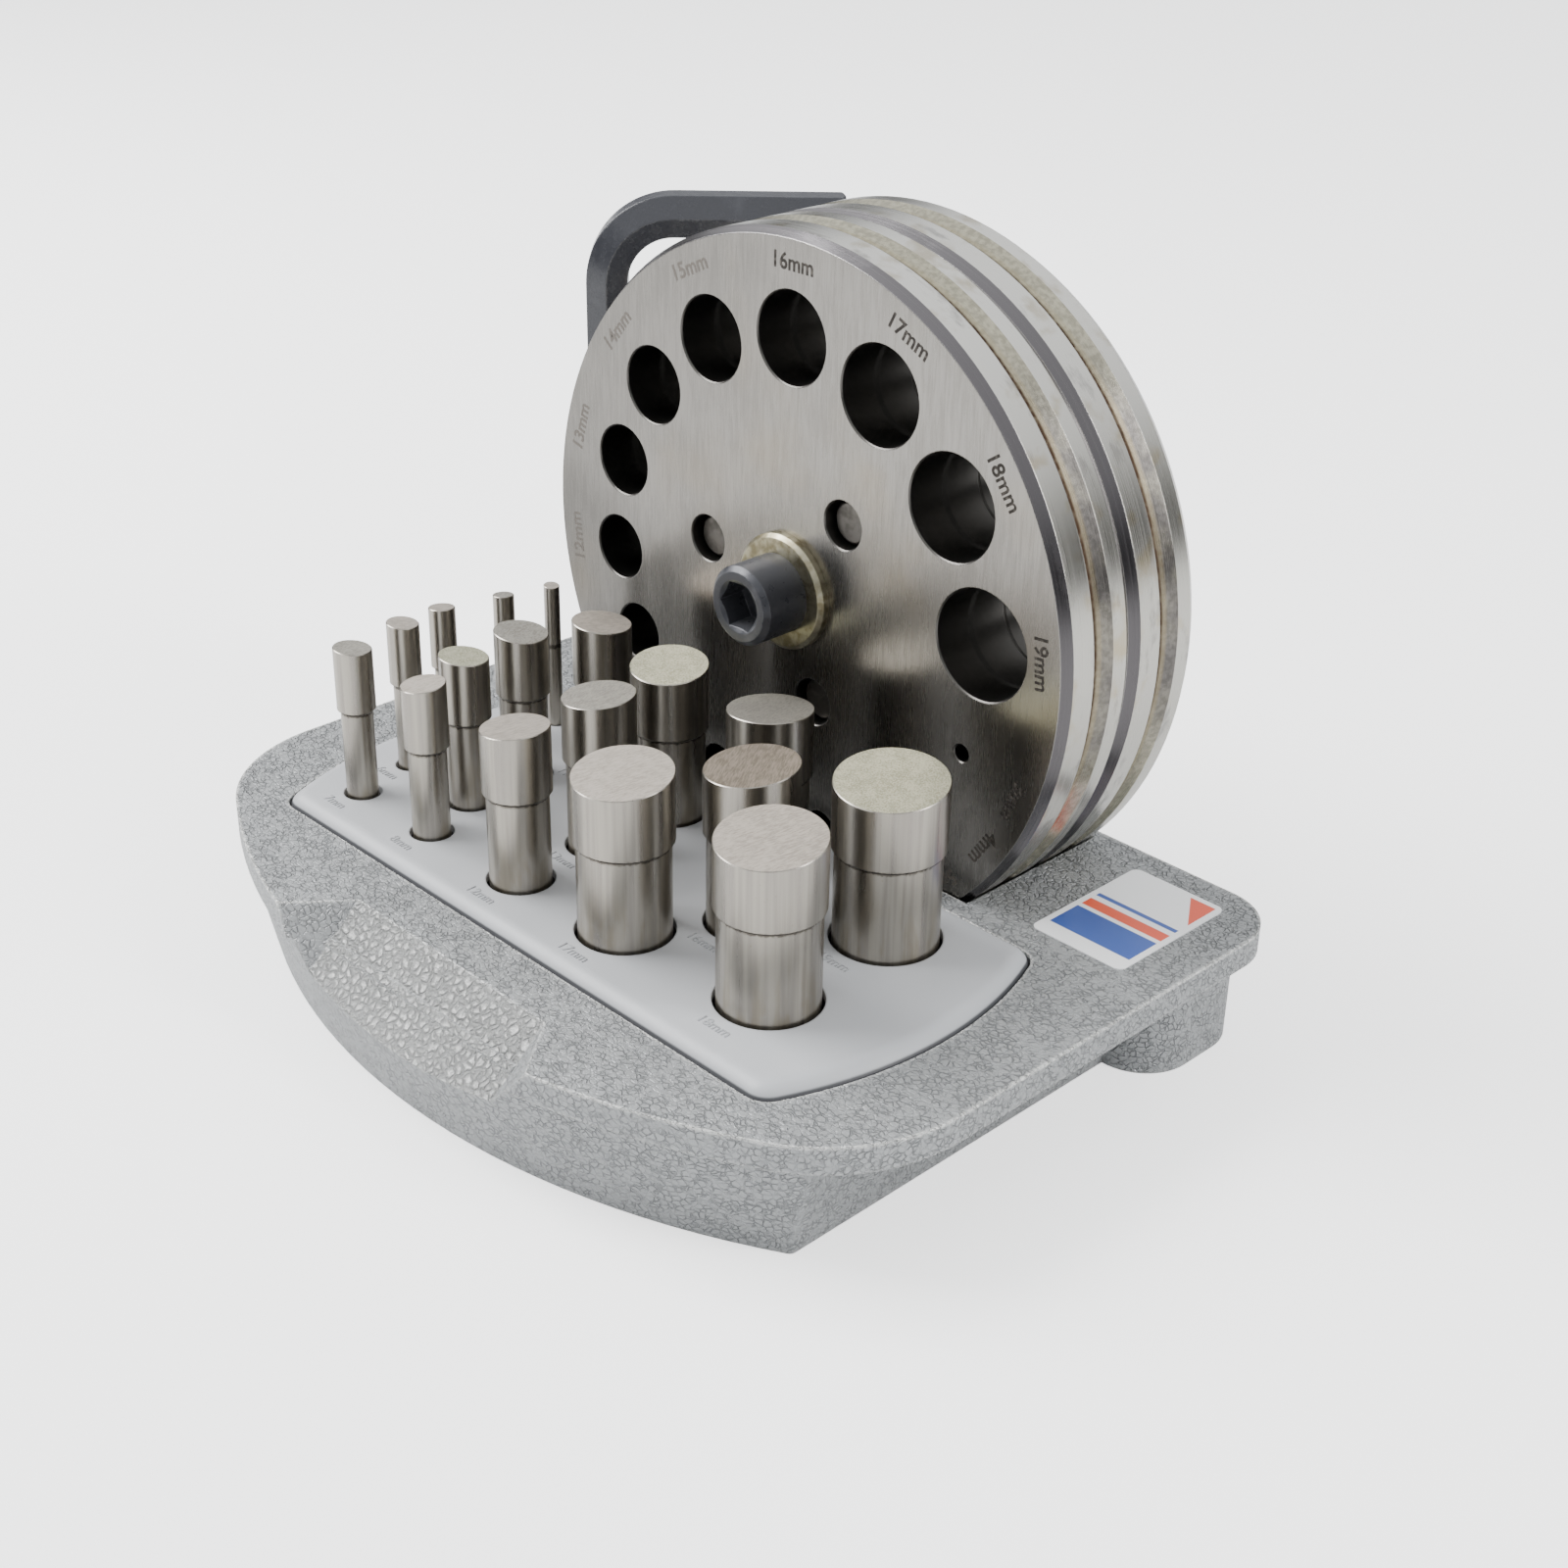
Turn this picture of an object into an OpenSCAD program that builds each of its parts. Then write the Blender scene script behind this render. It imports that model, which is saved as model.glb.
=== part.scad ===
// Jeweller's disc cutter on its bench stand. Two thick round die plates with
// seventeen matched holes stand on edge in a cradle, held together by one
// socket screw. A moulded rack in front holds a punch for every hole, and the
// hex key that turns the screw stands in the left rear foot.
// Millimetres. X is to the right, Y to the back, Z up. The origin is on the
// bench, at the middle of the outer box.

/* [Stand] */
// Half of the stand's width
stand_half_w = 85; // [80:0.5:90]
// Radius of the bowed front edge, seen from above
front_bow_r = 140; // [125:1:160]
// Front-most point of the stand
front_y = -73.4; // [-78:0.2:-72]
// Straight rear edge of the stand
rear_y = 53.2; // [52.4:0.2:60]
// Height of the stand's flat top
top_z = 23.1; // [22.5:0.1:26]
// Thickness of the top flange
flange_t = 4.9; // [3:0.1:6]
// Radius of the two front corners, seen from above
front_corner_r = 30; // [20:1:35]
// Radius of the two rear corners, seen from above
rear_corner_r = 11; // [6:0.5:16]

/* [Front plaque] */
// Width of the sloping plaque
plaque_w = 50; // [40:1:60]
// Slope of the plaque below the horizontal, in degrees
plaque_slope = 41.5; // [35:0.5:50]
// Where the plaque starts on the flat top
plaque_y = -58.5; // [-60:0.5:-56]

/* [Rack] */
// Radius of the rack's round sides
rack_r = 70.3; // [69:0.1:72]
// Middle of those round sides
rack_mid_y = -17; // [-18:0.5:-16]
// Straight front edge of the rack
rack_front_y = -48.5; // [-50:0.5:-47]
// Straight rear edge of the rack
rack_back_y = 12.2; // [11:0.1:12.4]
// How far the rack stands above the flat top
rack_proud = 1.8; // [1:0.1:3]
// Radius of the rack's top edge
rack_edge_r = 3.2; // [2:0.1:4]
// Radius of the rack's four corners, seen from above
rack_corner_r = 4.4; // [4.2:0.2:8]
// Depth of the rack's block
rack_t = 18; // [16:0.5:20]

/* [Punches] */
// Height of the punches' tops over the bench
punch_top_z = 53.8; // [50:0.2:60]
// Full length of a punch
punch_len = 44; // [40:0.5:46]
// Length of the cutting head, which has the full size
head_len = 11.7; // [10:0.1:14]
// How much thinner the shank is than the head
shank_relief = 1.2; // [0.6:0.1:1.6]
// Shear angle ground on the cutting end, in degrees
shear = 6; // [0:0.5:8]

/* [Die plates] */
// Diameter of the plates
plate_d = 125; // [120:0.5:125]
// Thickness of one plate
plate_t = 16.8; // [14:0.1:16.8]
// Front face of the front plate
face_y = 17; // [17:0.1:17.2]
// Height of the plates' axis over the bench
axis_z = 66.5; // [66.4:0.1:67]
// Radius of the circle that the holes lie on
hole_circle_r = 44.9; // [44:0.1:45.5]
// Broken edge round every hole
hole_break = 0.25; // [0.1:0.05:0.3]
// Depth of the V groove round each rim
groove_depth = 1.5; // [0.5:0.1:2]

/* [Clamp] */
// Diameter of the socket screw's head
screw_head_d = 14.3; // [13:0.1:16]
// Length of the socket screw's head
screw_head_len = 9.5; // [8:0.1:10]
// Diameter of the screw's thread
thread_d = 9.5; // [8:0.1:9.6]
// Outside diameter of the washer
washer_d = 21; // [19:0.5:23]
// Thickness of the washer
washer_t = 2; // [1.5:0.1:2.5]
// Diameter of the guide pins
pin_d = 8; // [6:0.1:8.2]

/* [Hex key] */
// Width across the flats of the hex key
key_flats = 8; // [6:0.1:8]
// Reach of the short arm from the long arm's axis
key_reach = 45.6; // [36:0.2:48]
// Height of the short arm's upper flat over the bench
key_top_z = 119.5; // [110:0.5:122]
// Radius of the bend along the bar's middle
key_bend_r = 13; // [10:0.5:16]
// Direction that the short arm points in, from +X towards +Y, in degrees
key_dir = 46; // [40:1:90]

/* [Label] */
// Width of the label
label_w = 19; // [15:0.5:20]
// Length of the label
label_len = 28.4; // [24:0.2:29]
// Thickness of the label
label_t = 0.2; // [0.1:0.05:0.3]

/* [Hidden] */
$fn = 128;

eps = 0.01;
// How far a cutting tool runs past the faces it opens
over = 1;

// Each punch: size, place in the rack, and the way its sheared end slopes down
PUNCHES = [[3, -52.5, 6.5, 0], [4, -55, -3, 140], [5, -58, -15, 140],
           [6, -57, -24.5, 50], [7, -54, -37.5, 60], [8, -33.5, -37, 220],
           [9, -38, -25, 60], [10, -39.5, -11, 40], [11, -33, 2.5, 60],
           [12, -10, -35.5, 180], [13, -10, -17.5, 195], [14, -11, -0.5, -60],
           [15, 13.5, 0.5, 140], [16, 26.5, -16, 215], [17, 14.5, -33, -80],
           [18, 45.5, -30, -70], [19, 45, -3, -60]];
first_size = PUNCHES[0][0];
last_size = PUNCHES[len(PUNCHES) - 1][0];

// The holes run round the plates from the largest, and the gap between two
// neighbours grows with their size
last_hole_angle = 5.5;
gap_first = 12.4;
gap_step = 1.125;
function gap_sum(d) = (last_size - d) * gap_first
    + gap_step * ((last_size - first_size) * (last_size - first_size - 1)
    - (d - first_size) * (d - first_size - 1)) / 2;
function hole_angle(d) = last_hole_angle + gap_sum(d);
function hole_x(d) = hole_circle_r * cos(hole_angle(d));
function hole_z(d) = hole_circle_r * sin(hole_angle(d));

// Underside of the flange, where the skirt starts
skirt_z = top_z - flange_t;
// Centre of the bowed front edge
bow_y = front_y + front_bow_r;
// The skirt is set in from the flange, and its sides lean in as they go down
skirt_front_in = 0.8;
skirt_side_in = 10.5;
skirt_rear_in = 0.6;
skirt_bow_r = front_bow_r - skirt_front_in;
skirt_half_w = stand_half_w - skirt_side_in;
skirt_rear_y = rear_y - skirt_rear_in;
skirt_corner_r = 5;
skirt_draft = 3.7;
wall = 4;
// The hollow under the stand leans in a little more than the skirt
hollow_draft = 0.4;
// Rear feet: posts with round ends
foot_x = 71;
foot_y0 = 34;
foot_y1 = 42;
foot_r = 9.7;

// Cradle for the plates
cradle_gap = 0.3;
cradle_wall = 3.4;
cradle_r = plate_d / 2 + cradle_gap;
cradle_y0 = face_y - cradle_gap;
cradle_y1 = face_y + 2 * plate_t + cradle_gap;

// Pocket for the rack
pocket_gap = 0.25;
rack_top_z = top_z + rack_proud;
rack_bottom_z = rack_top_z - rack_t;
pocket_floor_t = 3.5;
// Ledge round the pocket's floor, which carries the rack
pocket_ledge = 2;
// Middles of the rack's right front and right rear corners
function rack_corner_at(line_y, inward) = [
    sqrt(pow(rack_r - rack_corner_r, 2) - pow(line_y + inward * rack_corner_r - rack_mid_y, 2)),
    line_y + inward * rack_corner_r];
rack_front_corner = rack_corner_at(rack_front_y, 1);
rack_back_corner = rack_corner_at(rack_back_y, -1);
// How much wider a punch's bore in the rack is than its shank, at least
rack_hole_play = 0.5;

// Hex key
key_x = -72;
key_y = 38;
key_foot_z = 5.2;
key_corner_r = key_flats / 2 / cos(30);
key_hole_d = 2 * key_corner_r + 0.5;
key_axis_z = key_top_z - key_flats / 2;

// Clamp screw
socket_depth = 5.5;
socket_flats = key_flats + 0.1;
thread_engaged = 13.5;
screw_under_head = washer_t + plate_t + thread_engaged;
thread_hole_d = thread_d + 0.1;
clear_hole_d = thread_d + 0.6;
// How much wider a die hole is than the size of its punch
hole_fit = 0.04;
pin_circle_r = 20.5;
pin_angles = [50, 170, 290];
pin_hole_d = pin_d + 0.5;
pin_recess = 2;

label_x = 57.5;
label_y = 19;
label_corner_r = 1.5;

iron = "#a9abad";
plastic = "#b4b8bc";
steel = "#a8a49c";
bright_steel = "#bdb9b0";
black_steel = "#34353a";
zinc = "#b8b39a";
paper = "#f4f5f6";

// Flange seen from above: a bowed front that runs into round corners,
// straight sides and a straight rear edge
module flange_plan() {
    front_x = stand_half_w - front_corner_r;
    front_corner_y = bow_y - sqrt(pow(front_bow_r - front_corner_r, 2) - pow(front_x, 2));
    rear_x = stand_half_w - rear_corner_r;
    rear_corner_y = rear_y - rear_corner_r;
    intersection() {
        translate([0, bow_y]) circle(r = front_bow_r, $fn = 256);
        polygon([[-front_x, front_corner_y], [front_x, front_corner_y],
                 [2 * front_x, 2 * front_corner_y - bow_y], [-2 * front_x, 2 * front_corner_y - bow_y]]);
    }
    for (s = [-1, 1]) {
        translate([s * front_x, front_corner_y]) circle(r = front_corner_r);
        translate([s * rear_x, rear_corner_y]) circle(r = rear_corner_r);
    }
    translate([-stand_half_w, front_corner_y])
        square([2 * stand_half_w, rear_corner_y - front_corner_y]);
    translate([-rear_x, front_corner_y]) square([2 * rear_x, rear_y - front_corner_y]);
}

// Solid on the skirt's outline, grown by g: a bowed front, round front corners
// and straight sides, all leaning in towards the floor, and an upright rear
module skirt_body(g, z0, back_y) {
    h = skirt_z - z0;
    d = skirt_draft * h / skirt_z;
    corner_x = skirt_half_w - skirt_corner_r;
    corner_y = bow_y - sqrt(pow(skirt_bow_r - skirt_corner_r, 2) - pow(corner_x, 2));
    half_w = skirt_half_w + g;
    translate([0, 0, z0]) {
        intersection() {
            translate([0, bow_y, 0])
                cylinder(r1 = skirt_bow_r + g - d, r2 = skirt_bow_r + g, h = h, $fn = 256);
            linear_extrude(h)
                polygon([[-corner_x, corner_y], [corner_x, corner_y],
                         [2 * corner_x, 2 * corner_y - bow_y], [-2 * corner_x, 2 * corner_y - bow_y]]);
        }
        if (skirt_corner_r + g > d) for (s = [-1, 1]) translate([s * corner_x, corner_y, 0])
            cylinder(r1 = skirt_corner_r + g - d, r2 = skirt_corner_r + g, h = h);
        translate([0, back_y, 0]) rotate([90, 0, 0]) linear_extrude(back_y - corner_y)
            polygon([[-half_w + d, 0], [half_w - d, 0], [half_w, h], [-half_w, h]]);
    }
}

// All of the rack's plan, grown by g, but for its round corners and its round
// sides, past which it runs on
module rack_zone(g) {
    f = rack_front_corner;
    b = rack_back_corner;
    middle = [0, rack_mid_y];
    right = [[f.x, rack_front_y - g], f, 2 * f - middle, 2 * b - middle, b, [b.x, rack_back_y + g]];
    left = [for (i = [len(right) - 1:-1:0]) [-right[i].x, right[i].y]];
    polygon(concat(right, left));
}

// The rack's outline in plan, grown by g
module rack_plan(g) {
    intersection() {
        translate([0, rack_mid_y]) circle(r = rack_r + g, $fn = 256);
        rack_zone(g);
    }
    for (c = [rack_front_corner, rack_back_corner], s = [-1, 1])
        translate([s * c.x, c.y]) circle(r = rack_corner_r + g);
}

module foot_post() {
    for (y = [foot_y0, foot_y1]) translate([0, y, 0]) cylinder(r = foot_r, h = skirt_z + eps);
    translate([-foot_r, foot_y0, 0]) cube([2 * foot_r, foot_y1 - foot_y0, skirt_z + eps]);
}

// The wedge cut from the front edge, with flared ends, whose floor is the plaque
module plaque_cut() {
    flare = 1.22;
    rise = 16;
    reach = 30;
    translate([0, plaque_y, top_z]) rotate([plaque_slope, 0, 0]) rotate([90, 0, 0])
        linear_extrude(reach)
            polygon([[-plaque_w / 2, 0], [plaque_w / 2, 0],
                     [plaque_w / 2 + flare * rise, rise], [-plaque_w / 2 - flare * rise, rise]]);
}

// Low rib along the middle of the plaque
module plaque_rib() {
    half_w = 1.2;
    height = 0.45;
    root = 0.3;
    rib_at = 8.6;
    translate([0, plaque_y, top_z]) rotate([plaque_slope, 0, 0])
        translate([-plaque_w / 2 - root, -rib_at, -root]) rotate([90, 0, 90])
            linear_extrude(plaque_w + 2 * root)
                polygon([[-half_w, 0], [half_w, 0], [half_w / 2, height + root],
                         [-half_w / 2, height + root]]);
}

// Solid that stays inside the hollow: walls round the rack's pocket and the
// cradle, the metal behind the plaque, and the feet
module hollow_keepouts() {
    plaque_metal_w = 92;
    plaque_metal_z = 9;
    translate([0, 0, -over]) linear_extrude(skirt_z + 2 * over) rack_plan(pocket_gap + wall);
    translate([0, rear_y, axis_z]) rotate([90, 0, 0])
        cylinder(r = cradle_r + cradle_wall, h = rear_y - cradle_y0 + wall, $fn = 256);
    translate([-plaque_metal_w / 2, front_y, plaque_metal_z])
        cube([plaque_metal_w, rack_front_y - front_y, skirt_z]);
    for (s = [-1, 1]) translate([s * foot_x, 0, 0]) foot_post();
}

module base_casting() {
    color(iron) {
        difference() {
            union() {
                translate([0, 0, skirt_z]) linear_extrude(flange_t) flange_plan();
                skirt_body(0, 0, skirt_rear_y);
                for (s = [-1, 1]) translate([s * foot_x, 0, 0]) foot_post();
            }
            difference() {
                skirt_body(-wall - hollow_draft, -over, skirt_rear_y - wall);
                hollow_keepouts();
            }
            translate([0, 0, rack_bottom_z]) linear_extrude(rack_t + over) rack_plan(pocket_gap);
            translate([0, 0, -over]) linear_extrude(over + rack_bottom_z - pocket_floor_t)
                rack_plan(pocket_gap - pocket_ledge);
            translate([0, cradle_y1, axis_z]) rotate([90, 0, 0])
                cylinder(r = cradle_r, h = cradle_y1 - cradle_y0, $fn = 256);
            plaque_cut();
            translate([key_x, key_y, key_foot_z]) cylinder(d = key_hole_d, h = top_z);
        }
        plaque_rib();
    }
}

module label() {
    color(paper) translate([label_x, label_y, top_z]) linear_extrude(label_t) {
        for (x = [label_corner_r, label_w - label_corner_r])
            for (y = [label_corner_r, label_len - label_corner_r])
                translate([x, y]) circle(r = label_corner_r, $fn = 32);
        translate([0, label_corner_r]) square([label_w, label_len - 2 * label_corner_r]);
        translate([label_corner_r, 0]) square([label_w - 2 * label_corner_r, label_len]);
    }
}

// Half of an upright section through the rack, r wide, with a round top edge
module rack_section(r) {
    edge = rack_edge_r;
    square([r - edge, rack_t]);
    square([r, rack_t - edge]);
    intersection() {
        translate([r - edge, rack_t - edge]) circle(r = edge, $fn = 48);
        square([r, rack_t]);
    }
}

// One round corner of the rack, which runs on into the block behind it
module rack_corner(corner) {
    translate([corner.x, corner.y, rack_bottom_z]) rotate_extrude() rack_section(rack_corner_r);
}

// The rack's block: round sides, straight front and rear, and round corners
module rack_block() {
    half_depth = (rack_back_y - rack_front_y) / 2;
    intersection() {
        translate([0, rack_mid_y, rack_bottom_z]) rotate_extrude($fn = 256) rack_section(rack_r);
        translate([-rack_r, rack_front_y + half_depth, rack_bottom_z]) rotate([90, 0, 90])
            linear_extrude(2 * rack_r) {
                rack_section(half_depth);
                mirror([1, 0]) rack_section(half_depth);
            }
        translate([0, 0, rack_bottom_z]) linear_extrude(rack_t) rack_zone(over);
    }
    for (c = [rack_front_corner, rack_back_corner], s = [-1, 1]) rack_corner([s * c.x, c.y]);
}

// Bore of the rack for one punch
function shank_d(d) = d - min(shank_relief, (d - first_size) * shank_relief / 2);
function rack_hole_d(d) = max(d, shank_d(d) + rack_hole_play);

module punch_rack() {
    bottom_of_holes = punch_top_z - punch_len;
    color(plastic) difference() {
        rack_block();
        for (p = PUNCHES) translate([p[1], p[2], bottom_of_holes])
            cylinder(d = rack_hole_d(p[0]), h = punch_len, $fn = 64);
    }
}

// One plate: broken edges, and two ridges on the rim with a V groove between
// them, steep in front and sloping behind
module plate_body() {
    r = plate_d / 2;
    break_r = 1.1;
    front_break = 1.9;
    back_break = 1.8;
    groove_from = 6.9;
    groove_bottom = 8;
    groove_to = 11.7;
    rotate([-90, 0, 0]) rotate_extrude($fn = 256)
        polygon([[0, 0], [r - break_r, 0], [r, front_break], [r, groove_from],
                 [r - groove_depth, groove_bottom], [r, groove_to],
                 [r, plate_t - back_break], [r - break_r, plate_t], [0, plate_t]]);
}

// A hole along Y from face to face of a plate, with both edges broken
module plate_hole(d) {
    rotate([-90, 0, 0]) {
        translate([0, 0, -over]) cylinder(d = d, h = plate_t + 2 * over, $fn = 64);
        for (z = [0, plate_t]) translate([0, 0, z])
            rotate([z > 0 ? 180 : 0, 0, 0]) translate([0, 0, -eps])
                cylinder(d1 = d + 2 * (hole_break + eps), d2 = d, h = hole_break + eps, $fn = 64);
    }
}

// One plate with its seventeen punch holes, a middle hole and three pin holes
module drilled_plate(middle_d, guide_d) {
    difference() {
        plate_body();
        for (p = PUNCHES) translate([hole_x(p[0]), 0, hole_z(p[0])]) plate_hole(p[0] + hole_fit);
        plate_hole(middle_d);
        for (a = pin_angles) translate([pin_circle_r * cos(a), 0, pin_circle_r * sin(a)])
            plate_hole(guide_d);
    }
}

module back_plate() {
    color(steel) translate([0, face_y + plate_t, axis_z]) drilled_plate(thread_hole_d, pin_d);
}

module front_plate() {
    color(steel) translate([0, face_y, axis_z]) drilled_plate(clear_hole_d, pin_hole_d);
}

module guide_pins() {
    pin_break = 0.6;
    rear_recess = 1;
    pin_len = 2 * plate_t - pin_recess - rear_recess;
    color(bright_steel) translate([0, face_y + pin_recess, axis_z])
        for (a = pin_angles) translate([pin_circle_r * cos(a), 0, pin_circle_r * sin(a)])
            rotate([-90, 0, 0]) {
                cylinder(d1 = pin_d - 2 * pin_break, d2 = pin_d, h = pin_break, $fn = 64);
                translate([0, 0, pin_break]) cylinder(d = pin_d, h = pin_len - pin_break, $fn = 64);
            }
}

module clamp_washer() {
    face_break = 0.7;
    color(zinc) translate([0, face_y, axis_z]) rotate([90, 0, 0]) difference() {
        union() {
            cylinder(d = washer_d, h = washer_t - face_break);
            translate([0, 0, washer_t - face_break])
                cylinder(d1 = washer_d, d2 = washer_d - 2 * face_break, h = face_break);
        }
        translate([0, 0, -over]) cylinder(d = clear_hole_d, h = washer_t + 2 * over);
    }
}

module clamp_screw() {
    head_break = 0.9;
    socket_break = 0.8;
    socket_break_depth = 0.5;
    point_break = 0.8;
    color(black_steel) translate([0, face_y - washer_t, axis_z]) rotate([90, 0, 0]) {
        difference() {
            union() {
                cylinder(d = screw_head_d, h = screw_head_len - head_break);
                translate([0, 0, screw_head_len - head_break])
                    cylinder(d1 = screw_head_d, d2 = screw_head_d - 2 * head_break, h = head_break);
            }
            translate([0, 0, screw_head_len - socket_depth])
                cylinder(d = socket_flats / cos(30), h = socket_depth + over, $fn = 6);
            translate([0, 0, screw_head_len - socket_break_depth])
                cylinder(d1 = socket_flats, d2 = socket_flats + 2 * socket_break,
                         h = socket_break_depth + eps);
        }
        translate([0, 0, -screw_under_head]) {
            cylinder(d1 = thread_d - 2 * point_break, d2 = thread_d, h = point_break);
            translate([0, 0, point_break])
                cylinder(d = thread_d, h = screw_under_head - point_break + eps);
        }
    }
}

// Six-sided bar along +Z, with two of its flats facing along X and a turned
// break at its free end
module hex_bar(len) {
    tip = 1;
    round_r = key_corner_r + 0.2;
    tip_r = key_flats / 2 - 0.3;
    intersection() {
        rotate([0, 0, 30]) cylinder(r = key_corner_r, h = len, $fn = 6);
        union() {
            cylinder(r = round_r, h = len - tip);
            translate([0, 0, len - tip]) cylinder(r1 = round_r, r2 = tip_r, h = tip);
        }
    }
}

module hex_key() {
    color(black_steel) translate([key_x, key_y, 0]) rotate([0, 0, key_dir]) {
        translate([0, 0, key_axis_z - key_bend_r]) rotate([180, 0, 0])
            hex_bar(key_axis_z - key_bend_r - key_foot_z);
        translate([key_bend_r, 0, key_axis_z]) rotate([0, 90, 0]) hex_bar(key_reach - key_bend_r);
        translate([key_bend_r, 0, key_axis_z - key_bend_r]) rotate([90, 0, 0]) rotate([0, 0, 90])
            rotate_extrude(angle = 90, $fn = 128) translate([key_bend_r, 0]) rotate(30)
                circle(r = key_corner_r, $fn = 6);
    }
}

// One punch with its cutting end up: head, broken step, thinner shank. The
// cutting end is ground at the shear angle, sloping down towards its turn.
module punch(p) {
    d = p[0];
    step = (d - shank_d(d)) / 2;
    foot_break = 0.4;
    blank = 3;
    color(bright_steel) translate([p[1], p[2], punch_top_z - punch_len]) difference() {
        union() {
            cylinder(d1 = shank_d(d) - 2 * foot_break, d2 = shank_d(d), h = foot_break, $fn = 96);
            translate([0, 0, foot_break])
                cylinder(d = shank_d(d), h = punch_len - head_len - foot_break, $fn = 96);
            if (step > 0) translate([0, 0, punch_len - head_len - step])
                cylinder(d1 = shank_d(d), d2 = d, h = step, $fn = 96);
            translate([0, 0, punch_len - head_len]) cylinder(d = d, h = head_len + blank, $fn = 96);
        }
        translate([0, 0, punch_len]) rotate([0, 0, p[3]]) rotate([0, shear, 0])
            translate([-d, -d, 0]) cube([2 * d, 2 * d, 2 * blank]);
    }
}

function punch_of(d) = PUNCHES[d - first_size];

module punch_03() { punch(punch_of(3)); }
module punch_04() { punch(punch_of(4)); }
module punch_05() { punch(punch_of(5)); }
module punch_06() { punch(punch_of(6)); }
module punch_07() { punch(punch_of(7)); }
module punch_08() { punch(punch_of(8)); }
module punch_09() { punch(punch_of(9)); }
module punch_10() { punch(punch_of(10)); }
module punch_11() { punch(punch_of(11)); }
module punch_12() { punch(punch_of(12)); }
module punch_13() { punch(punch_of(13)); }
module punch_14() { punch(punch_of(14)); }
module punch_15() { punch(punch_of(15)); }
module punch_16() { punch(punch_of(16)); }
module punch_17() { punch(punch_of(17)); }
module punch_18() { punch(punch_of(18)); }
module punch_19() { punch(punch_of(19)); }

base_casting();
label();
punch_rack();
back_plate();
guide_pins();
front_plate();
clamp_washer();
clamp_screw();
hex_key();
punch_03();
punch_04();
punch_05();
punch_06();
punch_07();
punch_08();
punch_09();
punch_10();
punch_11();
punch_12();
punch_13();
punch_14();
punch_15();
punch_16();
punch_17();
punch_18();
punch_19();
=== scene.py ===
"""Looks of a jeweller's disc cutter: its finishes, turned bars and marks, and the studio round it."""

import logging
import math
from dataclasses import dataclass, field
from enum import Enum

import bmesh
import bpy
from mathutils import Euler, Matrix, Vector


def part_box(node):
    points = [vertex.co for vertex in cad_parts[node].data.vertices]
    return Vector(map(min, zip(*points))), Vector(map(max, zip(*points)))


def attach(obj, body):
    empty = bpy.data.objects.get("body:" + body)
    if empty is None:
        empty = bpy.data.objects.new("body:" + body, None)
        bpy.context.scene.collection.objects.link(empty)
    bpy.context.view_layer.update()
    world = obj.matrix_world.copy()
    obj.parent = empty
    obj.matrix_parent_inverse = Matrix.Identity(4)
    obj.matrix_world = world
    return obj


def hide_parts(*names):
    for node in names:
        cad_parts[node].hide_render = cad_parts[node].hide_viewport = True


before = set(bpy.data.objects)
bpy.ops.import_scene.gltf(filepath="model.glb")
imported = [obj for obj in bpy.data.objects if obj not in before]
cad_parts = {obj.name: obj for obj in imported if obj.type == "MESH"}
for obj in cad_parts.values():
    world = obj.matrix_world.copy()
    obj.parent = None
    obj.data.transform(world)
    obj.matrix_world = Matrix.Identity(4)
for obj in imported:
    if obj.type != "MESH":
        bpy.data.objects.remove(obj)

log = logging.getLogger("disc_cutter")

MM = 0.001
BEVEL_SAMPLES = 6  # rays that round an edge's shading
BAR_SIDES = 96  # facets round a turned bar
SHARP_ANGLE = math.radians(30)  # past it an edge stays crisp
DIGIT_SHARE = 0.69  # a digit's height as a part of the letter size
WELD = 1e-7  # metres between points that are merged
Colour = tuple[float, float, float, float]
Tree = bpy.types.ShaderNodeTree
Node = bpy.types.Node
Socket = bpy.types.NodeSocket


# ---------------------------------------------------------------- small tools


def linear(hex_code: str) -> Colour:
    """Turn an sRGB hex colour into the linear values that a shader takes.

    Args:
        hex_code: The colour as "#rrggbb".

    Returns:
        Red, green, blue and an alpha of 1.
    """
    channels = [int(hex_code[i : i + 2], 16) / 255 for i in (1, 3, 5)]
    red, green, blue = (c / 12.92 if c <= 0.04045 else ((c + 0.055) / 1.055) ** 2.4 for c in channels)
    return red, green, blue, 1.0


def add(tree: Tree, kind: str, links: dict | None = None, **settings: object) -> Node:
    """Add one node, with its settings, and fill its inputs.

    Args:
        tree: The node tree that gets the node.
        kind: The node's type, such as "ShaderNodeMath".
        links: For each input's name or number, a socket to link or a plain value.
        settings: Properties of the node, such as operation="ADD".

    Returns:
        The new node.
    """
    node = tree.nodes.new(kind)
    for name, value in settings.items():
        setattr(node, name, value)
    for key, value in (links or {}).items():
        if isinstance(value, bpy.types.NodeSocket):
            tree.links.new(value, node.inputs[key])
        else:
            node.inputs[key].default_value = value
    return node


def calc(tree: Tree, operation: str, first: object, second: object = 0.0) -> Socket:
    """Work out one number from two, and return its socket."""
    return add(tree, "ShaderNodeMath", {0: first, 1: second}, operation=operation).outputs[0]


def vector(tree: Tree, operation: str, links: dict) -> Socket:
    """Work out one vector, and return its socket."""
    return add(tree, "ShaderNodeVectorMath", links, operation=operation).outputs[0]


def times(tree: Tree, first: object, second: object) -> Socket:
    """Multiply two numbers, and return the product's socket."""
    return calc(tree, "MULTIPLY", first, second)


def plus(tree: Tree, first: object, second: object) -> Socket:
    """Add two numbers, and return the sum's socket."""
    return calc(tree, "ADD", first, second)


def minus(tree: Tree, first: object, second: object) -> Socket:
    """Subtract the second number from the first, and return the difference's socket."""
    return calc(tree, "SUBTRACT", first, second)


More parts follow.
